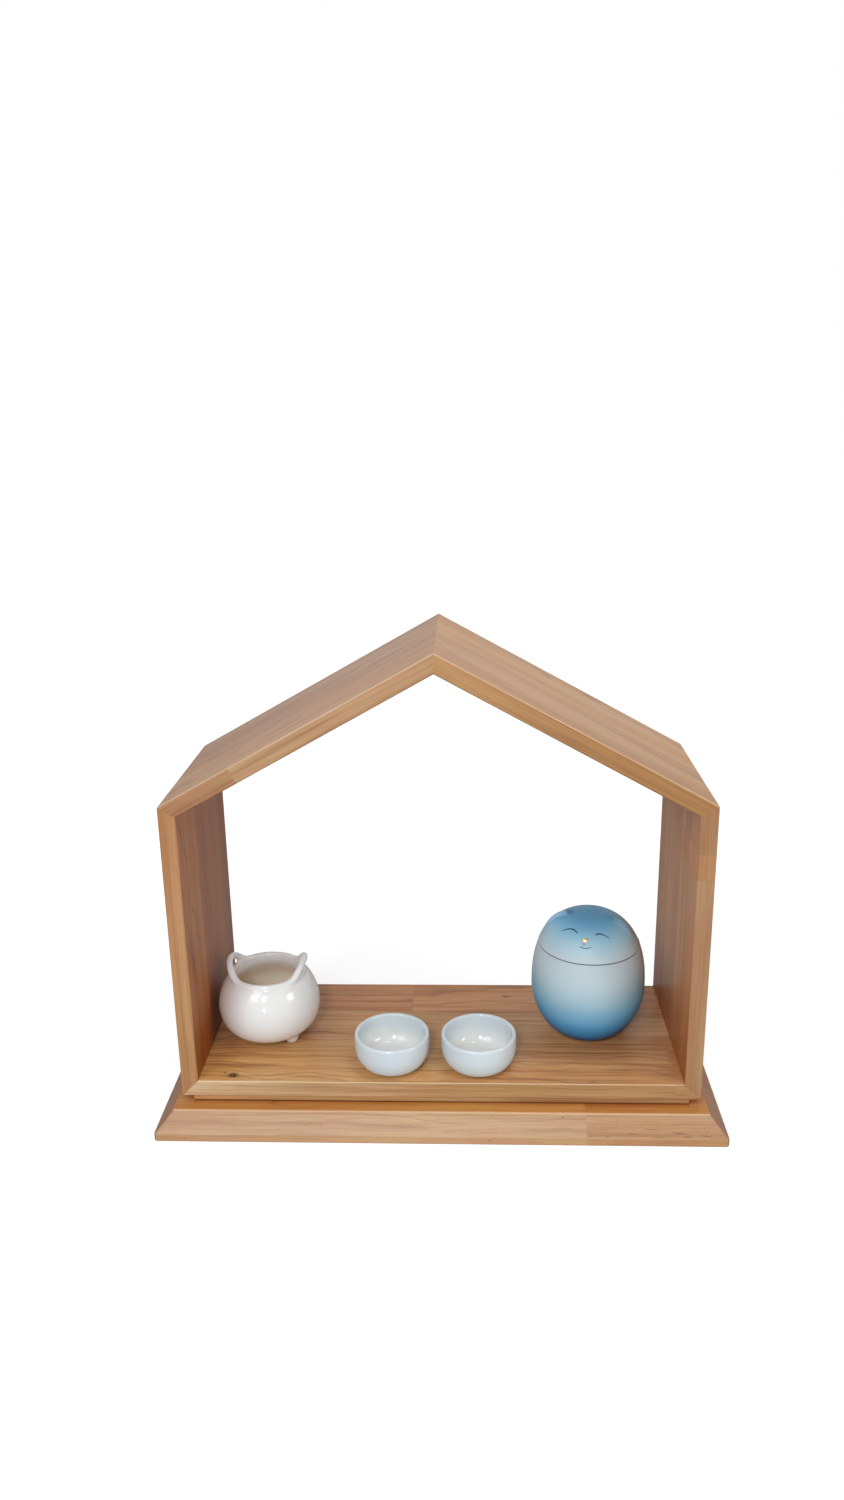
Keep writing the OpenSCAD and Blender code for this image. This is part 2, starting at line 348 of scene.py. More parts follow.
def yearRings(sample, cut):
    # Dark lines where the board's faces cut the year rings round the log's pith
    along, across, deep = separate(sample)
    bend = noise(sample, (cut["waves"], 20, 20), 3) - 0.5
    drift = noise(sample, (cut["waves"] * 1.7, 18, 18), 3, 0.5, (3.1, 7.7, 1.3)) - 0.5
    ringAcross = across + drift * cut["warp"] - cut["pith"][0]
    ringDeep = deep + (along * cut["tilt"] + bend * (cut["warp"] * 2.2)) + cut["pith"][1]
    radius = vectorCalc("LENGTH", combine(0.0, ringAcross, ringDeep))
    growth = noise(combine(radius * 160.0, 0.0, cut["seed"]), (1, 1, 1), 1)
    years = growth * 2.4 + radius / cut["ring"]
    # Distance over the surface to the next line, so that lines stay narrow where rings run flat
    spread = cut["ring"] / (abs(ringAcross) / radius + 0.2)
    season = calc("FRACT", years)
    ahead, behind = (1.0 - season) * spread, season * spread
    lines = fall(ahead, 0.0, wood["lineWidth"], 0.65) + fall(ahead, 0.0, wood["shadeWidth"], 0.40)
    lines = larger(fall(behind, 0.0, wood["lineRise"]) * 0.85, lines * rise(behind, 0.0, 0.3 * mm))
    strength = work("ShaderNodeTexWhiteNoise", {"W": calc("FLOOR", years)}, "Value", noise_dimensions="1D")
    patchy = noise(sample, (12, 60, 60))
    return lines * rise(strength, 0.1, 0.95, 0.25, 1.0) * rise(patchy, 0.32, 0.62, 0.35, 1.0)


def grainColour(sample, cut, broad, rings, fibres, fineFibres, onEdge):
    # Pale and warm clouds, fine streaks and fibres, and the year rings over them
    pale, warm, dark = [Vector(wood[name]) * Vector(cut["tone"]) for name in ("pale", "warm", "dark")]
    mottle = noise(sample, (16, 95, 95), 2, 0.5, (9.3, 4.4, 2.2))
    streaks = noise(sample, (5, 240, 240), 3, 0.65, (0.8, 5.6, 3.9))
    colour = mix(rise(broad, 0.34, 0.66), pale, warm)
    colour = tint(colour, mix(rise(mottle, 0.38, 0.64), wood["pinkish"], wood["yellowish"]))
    for figure, low, high, strength in ((streaks, 0.44, 0.74, cut["streaks"]),
                                        (fibres, 0.44, 0.78, wood["fibreContrast"]),
                                        (fineFibres, 0.40, 0.80, wood["fibreContrast"] * 0.6)):
        colour = mix(rise(figure, low, high, 0.0, strength), colour, dark)
    lines = calc("MULTIPLY", rings, wood["ringContrast"] * cut["contrast"], clamp=True)
    return mix(lines * (onEdge * (cut["edgeContrast"] - 1) + 1.0), colour, dark)


def tintZones(colour, place, wander, zones):
    # Broad changes of colour along (0), across (1) or into (2) the board
    for axis, start, end, tone in zones:
        reach = wander * ((end - start) * 0.6) + place[axis]
        colour = tint(colour, tone, rise(reach, start, end))
    return colour


def tonesAndShade(colour, place, wander, onEdge, cut):
    # Broad tones that differ over each side of a stave and beside its neighbours; some are painted shade: low
    # on the walls, on the plinth's top and before the riser
    along, deep = place[0], place[2]
    surface = tintZones(colour, place, wander, cut["zones"])
    if cut["edgeTone"]:  # the stave's front edge, cut square to its face
        edge = tintZones(tint(colour, cut["edgeTone"]), place, wander, cut["edgeZones"])
        surface = mix(onEdge, surface, edge)
    if cut["shadeBeforeRiser"]:  # painted shadow: darker before the riser, but not beside it
        riserEnd, shades = cut["shadeBeforeRiser"]
        beside = rise(abs(along), riserEnd - 1 * mm, riserEnd + 1 * mm)
        surface = mix(beside, tintZones(surface, place, wander, shades), surface)
    if cut["topShade"]:  # painted shade: the top is darker and more orange than the bevel below it
        topAt, tone = cut["topShade"]
        surface = tint(surface, tone, rise(deep, topAt - 1.2 * mm, topAt - 0.5 * mm))
    return surface


def flaws(colour, sample, place, fibres, knots, cut):
    # Resin flecks, knots and dark streaks
    along, across = place[:2]
    if cut["flecks"]:  # short thin spots
        sampleAlong, sampleAcross, sampleDeep = separate(sample)
        spots = noise(combine(sampleAlong, sampleAcross + sampleDeep, 0.0), (420, 640, 900), 1, 0.4,
                      (2.2, 6.1, 0.7))
        knots = larger(knots, rise(spots, 0.72, 0.79, 0.0, cut["flecks"]))
    colour = mix(knots, colour, wood["knotTint"])
    broken = rise(fibres, 0.35, 0.6, 0.6, 1.0)
    for mark in cut["marks"]:
        colour = mix(darkMark(along, across, mark) * broken, colour, wood["markTint"])
    return colour


def glueLines(colour, across, low, high, glued, jointLine):
    colour = mix(jointLine * 0.5, colour, wood["glueTint"])
    for edge, isGlued in zip((low, high), glued):
        if isGlued:
            colour = mix(fall(abs(across - edge), 0.0, wood["glueWidth"], 0.6), colour, wood["glueTint"])
    return colour


def edgeHighlightAndShade(shader, colour):
    # Painted highlight on eased edges that look up and forward, and painted shade on those that look down
    paintedEdgeLight = meshMark(shader, "arris")
    colour = mix(paintedEdgeLight * wood["arrisHighlightStrength"], colour, wood["arrisHighlight"])
    return mix(paintedEdgeLight * -wood["arrisShadeStrength"], colour, wood["paintedShade"])


def woodMaterial(name, turn, low, high, cut, glued=(False, False)):
    material, shader, place = newMaterial(name)
    place = separate(work("ShaderNodeMapping", {"Vector": place, "Rotation": (0, turn, 0)}))
    along, across, deep = place

    pieceNumber, jointLine = fingerJoints(along, across, cut["joints"])
    sampleAcross = across - (low + high) / 2 + pieceNumber * 0.023
    knots = 0.0
    for knot in cut["knots"]:
        push, dark = knotMark(along, across, knot)
        sampleAcross = sampleAcross - push
        knots = larger(knots, dark)
    sample = combine(along + pieceNumber * 0.37 + cut["seed"], sampleAcross, deep)

    rings = yearRings(sample, cut)
    broad = noise(sample, (3.5, 26, 26), 3, 0.5, (5.2, 1.9, 8.4))
    fibres = noise(sample, (16, 950, 950), 3, 0.6)
    fineFibres = noise(sample, (55, 2600, 2600), 2, 0.5, (1.7, 0.3, 4.1))
    onEdge = fall(across - low, 0.4 * mm, 1.3 * mm)
    colour = grainColour(sample, cut, broad, rings, fibres, fineFibres, onEdge)
    if cut["joints"]:  # every other piece between the joints has its own tone
        colour = tint(colour, cut["pastTone"], calc("FRACT", pieceNumber * 0.5) * 2.0)
    colour = tonesAndShade(colour, place, broad - 0.5, onEdge, cut)
    colour = flaws(colour, sample, place, fibres, knots, cut)
    if cut["endShade"]:  # painted shade: the ends, which show end grain, are darker
        colour = mix(meshMark(shader, "endGrain"), colour, tint(colour, cut["endShade"]))
    colour = glueLines(colour, across, low, high, glued, jointLine)
    if cut["footShadow"]:  # painted shadow in the corner under the board
        colour = mix(fall(deep, *cut["footShadow"], 0.9), colour, wood["paintedShade"])

    feed(shader, {"Base Color": edgeHighlightAndShade(shader, colour),
                  "Roughness": fibres * 0.16 + (wood["roughness"] - 0.08) - rings * 0.05})
    lacquer(shader, wood)
    relief(shader, fibres * 0.6 + (fineFibres * 0.35 + rings), 0.25, 0.12 * mm)
    return material


# The house: one mitred ring of boards, whose eased edges run on across the joints, cut
# into the staves of each board.

house = {"arris": 0.9 * mm, "arrisSegments": 4}

floorLow, floorHigh = span("floor_front", "floor_middle", "floor_back")
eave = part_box("right_wall_front")[1].z
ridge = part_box("right_roof_front")[1].z
floorTop = floorHigh.z
boardThickness = floorTop - floorLow.z
halfWidth, innerHalf = floorHigh.x, floorHigh.x - boardThickness
pitch = atan2(ridge - eave, halfWidth)
innerRidge = ridge - boardThickness / cos(pitch)
innerEave = eave + boardThickness * (sin(pitch) - 1) / cos(pitch)

# Each corner's outer and inner point, as x and z
corners = {
    "leftFoot": ((-halfWidth, floorLow.z), (-innerHalf, floorTop)),
    "rightFoot": ((halfWidth, floorLow.z), (innerHalf, floorTop)),
    "rightEave": ((halfWidth, eave), (innerHalf, innerEave)),
    "ridge": ((0, ridge), (0, innerRidge)),
    "leftEave": ((-halfWidth, eave), (-innerHalf, innerEave)),
}


def houseShell():
    bm = bmesh.new()
    loops = []
    for which in (0, 1):
        points = [corner[which] for corner in corners.values()]
        verts = [bm.verts.new((x, floorLow.y, z)) for x, z in points]
        loops += [bm.edges.new(pair) for pair in zip(verts, verts[1:] + verts[:1])]
    bmesh.ops.bridge_loops(bm, edges=loops)
    extrude(bm, bm.faces[:], (0, floorHigh.y - floorLow.y, 0))
    bmesh.ops.recalc_face_normals(bm, faces=bm.faces)
    easeEdges(bm, sharpConvexEdges(bm), house["arris"], house["arrisSegments"])
    return bm


def mitre(corner, middle):
    # The plane of the joint at a corner, facing the board whose middle is given
    (outerX, outerZ), (innerX, innerZ) = corners[corner]
    point, normal = Vector((outerX, middle.y, outerZ)), Vector((innerZ - outerZ, 0, outerX - innerX))
    return point, (normal if normal.dot(middle - point) > 0 else -normal)


# Each board's corners, and the turn that lays it flat
boards = {
    "floor": ("leftFoot", "rightFoot", 0.0),
    "left_wall": ("leftFoot", "leftEave", pi / 2),
    "right_wall": ("rightFoot", "rightEave", pi / 2),
    "left_roof": ("leftEave", "ridge", pitch),
    "right_roof": ("ridge", "rightEave", -pitch),
}


def stave(pith, tilt, ring, seed, tone, **more):
    # Where in its log a stave was cut, how steeply the grain runs out of it, how many millimetres
    # its year rings are wide, and its tone. Other places are in metres along and across the board:
    # along is x on the floor, z on a wall and the distance up or down the slope on a roof.
    #   zones: axis (along 0, across 1, deep 2), where it starts, where it is full, tone
    #   joints: along, then in millimetres the fingers' pitch and length, and the line's width
    #   knots: along, across, radius in millimetres, stretch along the grain, strength
    #   marks: along, across, length and width in millimetres, slant, strength
    return {**plainCut, "pith": pith, "tilt": tilt, "ring": ring * mm, "seed": seed, "tone": tone, **more}


# Painted shade and warm bounce light: the walls are darker and redder near the floor
wallShadeZones = [(0, 0.130, 0.045, (0.72, 0.48, 0.29))]

rightRoofMarks = [(-0.13, -0.002, 170, 2.0, 0.0, 0.45), (-0.02, -0.017, 200, 2.4, 0.01, 0.4),
                  (-0.14, -0.053, 120, 1.6, 0.0, 0.35), (0.0, -0.078, 140, 1.6, 0.0, 0.3)]

# How each stave was cut, from front to back
houseCuts = {
    "floor": [
        stave((-0.055, 0.045), 0.030, 3.4, 0.4, (1.26, 1.33, 1.23), waves=13, streaks=0.65,
              edgeTone=(0.87, 0.98, 1.26), edgeContrast=0.7, pastTone=(1.0, 0.97, 0.97),
              joints=[(0.206, 4, 5, 0.14)],
              zones=[(0, -0.05, 0.12, (0.94, 0.83, 0.84)), (0, -0.155, -0.20, (0.92, 0.80, 0.66)),
                     (1, -0.050, -0.036, (0.88, 0.82, 0.80))],
              edgeZones=[(0, -0.12, 0.12, (0.78, 0.68, 0.53)), (0, -0.19, -0.22, (1.0, 0.97, 1.08))],
              knots=[(-0.1855, -0.0782, 3.1, 1.25, 0.95), (-0.1935, -0.0745, 1.1, 1.3, 0.8)],
              marks=[(-0.175, -0.062, 75, 9, 0.02, 0.32), (-0.150, -0.049, 50, 5, 0.0, 0.30),
                     (-0.045, -0.052, 90, 3, 0.01, 0.35), (0.060, -0.080, 110, 2.5, 0.0, 0.35),
                     (0.165, -0.0655, 40, 1.6, 0.05, 0.5), (0.120, -0.0430, 130, 5, 0.0, 0.30),
                     (0.120, -0.0815, 150, 2.4, 0.0, 0.40)]),
        stave((-0.045, 0.045), 0.018, 3.4, 1.9, (1.10, 1.07, 1.09), waves=8, streaks=0.5),
        stave((0.05, 0.045), 0.015, 4.0, 3.3, (1.10, 0.89, 0.86), waves=8, streaks=0.5,
              joints=[(-0.030, 6, 0.5, 0.3)], pastTone=(1.04, 1.08, 1.06),
              knots=[(-0.122, 0.066, 1.0, 1.6, 0.8), (0.064, 0.064, 1.3, 2.6, 0.8)]),
    ],
    "left_wall": [
        stave((-0.04, 0.05), 0.02, 5.0, 5.1, (0.81, 0.52, 0.30), zones=wallShadeZones,
              edgeTone=(1.02, 1.42, 2.3), edgeContrast=0.35,
              edgeZones=[(2, 0.2205, 0.2240, (0.95, 0.92, 0.88))],
              marks=[(0.17, -0.067, 300, 3.5, 0.0, 0.45), (0.19, -0.046, 200, 2.0, 0.0, 0.3)]),
        stave((0.05, 0.07), 0.01, 4.4, 6.3, (0.67, 0.405, 0.255), contrast=0.8, zones=wallShadeZones,
              marks=[(0.20, -0.020, 240, 2.2, 0.0, 0.35), (0.15, 0.008, 300, 1.8, 0.0, 0.3)]),
        stave((-0.05, 0.05), 0.015, 4.2, 7.7, (0.67, 0.405, 0.255), contrast=0.8, zones=wallShadeZones),
    ],
    "right_wall": [
        stave((-0.05, 0.018), 0.004, 6.5, 8.2, (0.98, 0.78, 0.67), warp=2.5 * mm, contrast=1.2,
              zones=wallShadeZones, edgeTone=(0.76, 0.93, 1.20), edgeContrast=0.4, pastTone=(1.03, 0.93, 0.84),
              joints=[(0.237, 6, 0.4, 0.25), (0.260, 6, 0.4, 0.25)],
              marks=[(0.17, -0.052, 320, 2.4, 0.0, 0.55), (0.15, -0.036, 280, 2.8, 0.0, 0.5),
                     (0.20, -0.066, 220, 1.6, 0.0, 0.35)]),
        stave((0.05, 0.06), 0.012, 4.5, 9.4, (0.96, 0.73, 0.62), contrast=0.8, zones=wallShadeZones,
              marks=[(0.18, -0.022, 340, 2.4, 0.0, 0.5), (0.14, 0.004, 260, 1.8, 0.0, 0.4)]),
        stave((-0.05, 0.06), 0.012, 4.5, 10.6, (0.96, 0.73, 0.62), contrast=0.8, zones=wallShadeZones),
    ],
    "left_roof": [
        stave((0.05, 0.05), 0.012, 4.4, 11.2, (0.82, 0.75, 0.77), streaks=0.5, edgeTone=(0.84, 0.81, 0.80),
              edgeZones=[(0, 0.0135, 0.0165, (1.12, 1.27, 1.33))],
              joints=[(0.015, 20, 0.8, 0.15)], pastTone=(1.02, 1.0, 0.98)),
        stave((0.05, 0.04), 0.01, 3.2, 12.9, (0.75, 0.69, 0.73)),
        stave((-0.05, 0.03), 0.008, 2.6, 14.3, (0.70, 0.63, 0.67), contrast=0.9),
    ],
    "right_roof": [
        stave((0.05, 0.05), 0.012, 4.0, 15.8, (0.92, 0.86, 0.85), streaks=0.45, edgeTone=(0.84, 0.84, 0.73),
              marks=rightRoofMarks),
        stave((0.05, 0.03), 0.01, 3.6, 17.1, (0.94, 0.88, 0.88), marks=rightRoofMarks),
        stave((-0.06, 0.03), 0.008, 3.6, 18.5, (1.0, 0.94, 0.86)),
    ],
}


def buildStaves(block, nodes, cuts, turn=0.0):
    # Cuts a block into the staves it is glued up from, each with its own wood
    for node, cut in zip(nodes, cuts):
        low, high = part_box(node)
        glued = (node != nodes[0], node != nodes[-1])
        bm = block.copy()
        if glued[0]:
            keepSide(bm, (0, low.y, 0), (0, 1, 0))
        if glued[1]:
            keepSide(bm, (0, high.y, 0), (0, -1, 0))
        material = woodMaterial(f"{node} wood", turn, low.y, high.y, cut, glued)
        woodPiece(f"{node}_stave", bm, material, node)
    block.free()


def buildHouse():
    shell = houseShell()
    for board, (*ends, turn) in boards.items():
        nodes = [f"{board}_{place}" for place in ("front", "middle", "back")]
        low, high = span(*nodes)
        bm = shell.copy()
        for corner in ends:
            keepSide(bm, *mitre(corner, (low + high) / 2))
        buildStaves(bm, nodes, houseCuts[board], turn)
    shell.free()
    print("house: 15 staves")


# The plinth: a bevelled block of four staves, and the riser board on it.

plinth = {"nodes": ("plinth_front", "plinth_mid_front", "plinth_mid_back", "plinth_back"),
          "cornerRadius": 2.6 * mm, "cornerSegments": 5, "arris": 1.2 * mm, "arrisSegments": 3,
          "edgeHeight": 7.5 * mm, "bevelRun": 14.5 * mm, "riserArris": 0.6 * mm,
          "topShade": (1.06, 0.76, 0.37), "footTone": (1.04, 0.95, 0.84), "endShade": (0.60, 0.46, 0.38),
          "riserShadeTone": (0.78, 0.68, 0.63), "footShade": (0.58, 0.47, 0.40), "riserShade": 1.8 * mm}

plinthCuts = [
    stave((0.05, 0.05), 0.010, 5.2, 20.3, (0.90, 0.98, 1.20), contrast=0.55, streaks=0.3, flecks=0.6,
          joints=[(0.128, 8, 0.6, 0.12)], pastTone=(0.98, 0.95, 0.92),
          marks=[(0.184, -0.1105, 16, 0.6, -0.04, 0.8), (0.208, -0.1125, 14, 0.7, -0.05, 0.8),
                 (0.215, -0.1145, 9, 0.7, -0.03, 0.8), (0.190, -0.1150, 13, 0.5, 0.0, 0.7),
                 (0.167, -0.1130, 6, 0.6, -0.03, 0.8), (0.231, -0.1140, 10, 0.6, -0.08, 0.8),
                 (0.146, -0.1150, 4, 0.6, 0.0, 0.8), (0.108, -0.1040, 2, 0.7, 0.0, 0.9)]),
    stave((0.05, 0.06), 0.012, 4.5, 21.8, (0.96, 0.9, 0.84)),
    stave((-0.05, 0.05), 0.012, 4.5, 23.1, (0.98, 0.94, 0.9)),
    stave((0.05, 0.05), 0.012, 4.5, 24.9, (1.0, 0.95, 0.9), flecks=0.5),
]

riserCut = stave((0.0, 0.04), 0.02, 4.5, 26.4, (1.18, 1.20, 1.15), contrast=0.5,
                 zones=[(0, -0.20, -0.16, (0.84, 0.88, 0.86)), (0, 0.03, 0.08, (0.74, 0.63, 0.60))])


def plinthBlock(low, high):
    size = high - low
    bm = bmesh.new()
    bmesh.ops.create_grid(bm, x_segments=1, y_segments=1, size=0.5)
    bmesh.ops.scale(bm, verts=bm.verts, vec=(size.x, size.y, 1))
    bmesh.ops.bevel(bm, geom=bm.verts[:], offset=plinth["cornerRadius"], segments=plinth["cornerSegments"],
                    profile=0.5, affect="VERTICES", material=-1)
    top = bm.faces[:]
    for up, inwards in ((plinth["edgeHeight"], 0), (size.z - plinth["edgeHeight"], plinth["bevelRun"])):
        verts, top = extrude(bm, top, (0, 0, up))
        bmesh.ops.scale(bm, verts=verts, vec=(1 - 2 * inwards / size.x, 1 - 2 * inwards / size.y, 1))
    bmesh.ops.translate(bm, verts=bm.verts, vec=((low.x + high.x) / 2, (low.y + high.y) / 2, low.z))
    bmesh.ops.recalc_face_normals(bm, faces=bm.faces)
    level = [edge for edge in bm.edges if abs(edge.verts[0].co.z - edge.verts[1].co.z) < 1e-6]
    easeEdges(bm, level, plinth["arris"], plinth["arrisSegments"])
    # The endGrain mark also carries painted shade on the plinth's ends
    endGrain = bm.faces.layers.float.new("endGrain")
    for face in bm.faces:
        endwards, forward = abs(face.normal.x), abs(face.normal.y)
        face[endGrain] = min(max((endwards - 0.2) / 0.4, 0.0), 1.0)
        if 0.1 < endwards < 0.99 and 0.1 < forward < 0.99:  # the rounded corners
            face.smooth = True
    return bm


def buildPlinth():
    low, high = span(*plinth["nodes"])
    riserLow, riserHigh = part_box("riser_board")
    edge, foot = low.z + plinth["edgeHeight"], riserLow.y
    # Painted shade on the plinth's top and on its ends
    tones = {"topShade": (high.z, plinth["topShade"]), "endShade": plinth["endShade"],
             "zones": [(2, edge + 0.3 * mm, edge - 0.5 * mm, plinth["footTone"])]}
    cuts = [{**cut, **tones} for cut in plinthCuts]
    # Painted shadow on the top just before the riser, fading out beside it
    cuts[0]["shadeBeforeRiser"] = (riserHigh.x, [(1, foot - 8 * mm, foot, plinth["riserShadeTone"]),
                                            (1, foot - 1.4 * mm, foot - 0.4 * mm, plinth["footShade"])])
    buildStaves(plinthBlock(low, high), plinth["nodes"], cuts)

    middle = Matrix.Translation((riserLow + riserHigh) / 2)
    bm = bmesh.new()
    bmesh.ops.create_cube(bm, size=1, matrix=middle @ Matrix.Diagonal((*(riserHigh - riserLow), 1)))
    easeEdges(bm, sharpConvexEdges(bm), plinth["riserArris"], 2, paintedEdgeLight=False)
    # Painted shadow along the riser's foot
    cut = {**riserCut, "footShadow": (riserLow.z, riserLow.z + plinth["riserShade"])}
    material = woodMaterial("riser wood", 0.0, riserLow.y, riserHigh.y, cut)
    woodPiece("riser_board_eased", bm, material, "riser_board")
    print("plinth: 4 staves and a riser")


# Glazes

# The inside colours are painted light, paler and warmer than the glaze outside
glazes = {
    "burner": {"colour": (0.82, 0.83, 0.82), "inside": (0.98, 0.82, 0.67), "roughness": 0.10,
               "glow": 0.75, "glowDepth": 12 * mm},
    "bowl": {"colour": (0.63, 0.705, 0.745), "inside": (0.81, 0.825, 0.80), "roughness": 0.10,
             "glow": 0.5, "glowDepth": 5 * mm},
    "urn": {"roughness": 0.36, "gloss": 0.10, "coat": 0.03, "coatRoughness": 0.14,
            "lining": (0.62, 0.62, 0.58)},
}


def glazeRelief(shader, place, grains, strength, depth):
    # The slight unevenness of a dipped glaze
    waves = noise(place, (grains, grains, grains), 2, 0.45)
    relief(shader, waves, strength, depth)
    return waves


def whiteGlaze(name, look, centre, tinted):
    material, shader, place = newMaterial(name)
    waves = glazeRelief(shader, place, 55, 0.35, 0.5 * mm)
    cloud = noise(place, (22, 22, 22))
    colour = mix(rise(cloud, 0.3, 0.7), look["colour"], Vector(look["colour"]) * 0.965)
    # Painted light: the inside is paler and warmer lower down, for the light and warm bounce inside the
    # vessel
    low, high = tinted
    below = fall(separate(place)[2], centre.z + low, centre.z + high)
    colour = mix(below * meshMark(shader, "inside"), colour, look["inside"])
    feed(shader, {"Base Color": colour, "Roughness": waves * 0.05 + (look["roughness"] - 0.025), "IOR": 1.55,
                  "Subsurface Weight": look["glow"], "Subsurface Radius": (1.0, 0.9, 0.8),
                  "Subsurface Scale": look["glowDepth"]})
    return material


def isInside(away, outline, low, high, margin):
    # Whether a point is on a vessel's inside, between two heights above the floor
    return low < away.z < high and hypot(away.x, away.y) < radiusAt(outline, away.z) + margin


def markInside(bm, centre, *limits):
    within = bm.verts.layers.float.new("inside")
    for vert in bm.verts:
        vert[within] = float(isInside(vert.co - centre, *limits))


# The incense burner: pot, ears and feet are one lump of glazed clay.

burner = {
    "nodes": ("burner_pot", "burner_left_handle", "burner_right_handle",
              "burner_left_foot", "burner_right_foot", "burner_back_foot"),
    "radius": 47.8 * mm, "middle": 35 * mm, "height": 67 * mm, "rim": 33.2 * mm, "bead": 2.7 * mm,
    "base": 18 * mm, "baseLift": 3.6 * mm, "wall": 4 * mm, "lowPower": 2.3, "topPower": 1.5,
    "neck": 60 * mm, "tinted": (41 * mm, 59 * mm),
    # Each foot's bearing in degrees and its distance from the pot's axis
    "feet": [(-38.5, 28.6 * mm), (-149, 25.6 * mm), (88.5, 28.6 * mm)],
    "footTop": 7.0 * mm, "footTip": 4.4 * mm, "footHeight": 17.5 * mm,
    "voxel": 0.75 * mm, "smoothing": 14, "earRod": 3.4 * mm,
    # The ears' middle line: bearing from the ear's middle in degrees, distance out and height in
    # millimetres, thickness
    "earPath": [(60, 33.2, 63.9, 0.60), (52, 33.3, 64.2, 0.76), (44.5, 33.5, 64.5, 0.88),
                (38.5, 34.0, 65.4, 0.98), (32, 34.6, 68.0, 1.05), (25.5, 35.0, 72.0, 1.0),
                (15, 35.2, 76.0, 0.95), (0, 35.3, 77.2, 0.95)],
}


def bakedMesh(data, voxel=None):
    # The mesh that a curve makes, or other meshes melted into one lump
    holder = addObject("holder", data)
    if voxel:
        modifier = holder.modifiers.new("blend", "REMESH")
        modifier.mode, modifier.voxel_size, modifier.adaptivity = "VOXEL", voxel, 0.0
    made = bpy.data.meshes.new_from_object(holder.evaluated_get(bpy.context.evaluated_depsgraph_get()))
    bpy.data.objects.remove(holder)
    return made


def rodMesh(points, radius):
    # A round rod along a smooth line
    curve = bpy.data.curves.new("rod", "CURVE")
    curve.dimensions, curve.bevel_depth, curve.bevel_resolution, curve.use_fill_caps = "3D", radius, 8, True
    spline = curve.splines.new("NURBS")
    spline.points.add(len(points) - 1)
    for point, (place, thickness) in zip(spline.points, points):
        point.co, point.radius = (*place, 1), thickness
    spline.order_u, spline.use_endpoint_u, spline.resolution_u = 4, True, 8
    return bakedMesh(curve)


def burnerOutlines():
    b = burner
    outside = (swell(b["base"], b["baseLift"], b["radius"], b["middle"], b["lowPower"])
               + drawIn(b["radius"], b["middle"], b["rim"] + b["bead"] * 0.75, b["height"] - b["bead"] * 1.6,
                        b["topPower"])
               + arc(b["rim"], b["height"] - b["bead"], b["bead"], range(-20, 181, 20)))
    throat = b["rim"] - b["bead"] * 0.9
    inside = (swell(b["base"], b["baseLift"] + b["wall"], b["radius"] - b["wall"], b["middle"], b["lowPower"])
              + narrowing(b["radius"] - b["wall"], b["middle"], throat, b["neck"])
              + [(throat, b["height"] - b["bead"] * 1.3)])
    return outside, inside


def burnerEar(side, centre):
    # Half of the line is given, and the other half mirrors it
    path = burner["earPath"]
    line = []
    for bearing, reach, height, thickness in path + [(-point[0], *point[1:]) for point in path[-2::-1]]:
        turn = side + radians(bearing)
        line.append((Vector((cos(turn) * reach, sin(turn) * reach, height)) * mm + centre, thickness))
    return rodMesh(line, burner["earRod"])


def burnerFoot(bearing, distance, centre):
    b = burner
    spot = centre + Matrix.Rotation(radians(bearing), 3, "Z") @ Vector((distance, 0, 0))
    outline = ([(0, 0)] + swell(b["footTip"], 0, b["footTop"], b["footHeight"] * 0.6, 2, 10)
               + [(b["footTop"], b["footHeight"]), (0, b["footHeight"])])
    return meshOf(turnedShape(outline, spot, 32))


def buildBurner():
    b = burner
    centre = standingPoint("burner_pot")
    outside, inside = burnerOutlines()
    outline = [(0, b["baseLift"])] + outside + inside[::-1] + [(0, b["baseLift"] + b["wall"])]
    parts = turnedShape(outline, centre)
    for part in ([burnerEar(side, centre) for side in (0, pi)]
                 + [burnerFoot(bearing, distance, centre) for bearing, distance in b["feet"]]):
        parts.from_mesh(part)
    bm = bmesh.new()
    bm.from_mesh(bakedMesh(meshOf(parts), b["voxel"]))
    for turn in range(b["smoothing"]):
        smoothVerts(bm, bm.verts)
    bmesh.ops.translate(bm, verts=bm.verts, vec=(0, 0, floorTop - min(vert.co.z for vert in bm.verts)))
    markInside(bm, centre, inside, b["baseLift"] + b["wall"] / 2, b["height"] - 2 * b["bead"], b["wall"] / 2)
    glaze = whiteGlaze("burner glaze", glazes["burner"], centre, b["tinted"])
    newPiece("incense_burner", bm, [glaze], "shrine", b["nodes"])
    print("burner: pot, ears and feet in one")


# The offering bowls

bowl = {
    "radius": 34 * mm, "middle": 20.5 * mm, "height": 31.5 * mm, "lipRadius": 31.9 * mm, "lipHalf": 1.7 * mm,
    "base": 22 * mm, "bottom": 5 * mm, "bottomRadius": 17.5 * mm, "insidePower": 2.3,
    "hollowBase": 0.5 * mm, "tinted": (5 * mm, 26.775 * mm),
}


def footRing(base, width, hollow):
    # The underside of a vessel, hollow inside the ring it stands on
    return [(0, hollow), (base - width - 1 * mm, hollow), (base - width, 0), (base - 0.6 * mm, 0)]


def bowlOutlines():
    b = bowl
    lipHeight = b["height"] - b["lipHalf"]
    foot = footRing(b["base"], 3 * mm, b["hollowBase"])
    outside = (swell(b["base"], 0.6 * mm, b["radius"], b["middle"], 2)
               + drawIn(b["radius"], b["middle"], b["lipRadius"] + b["lipHalf"], lipHeight, 2)[1:])
    lip = arc(b["lipRadius"], lipHeight, b["lipHalf"], range(15, 180, 15))
    inside = swell(b["bottomRadius"], b["bottom"], b["lipRadius"] - b["lipHalf"], lipHeight, b["insidePower"])
    return foot + outside + lip, [(0, b["bottom"])] + inside


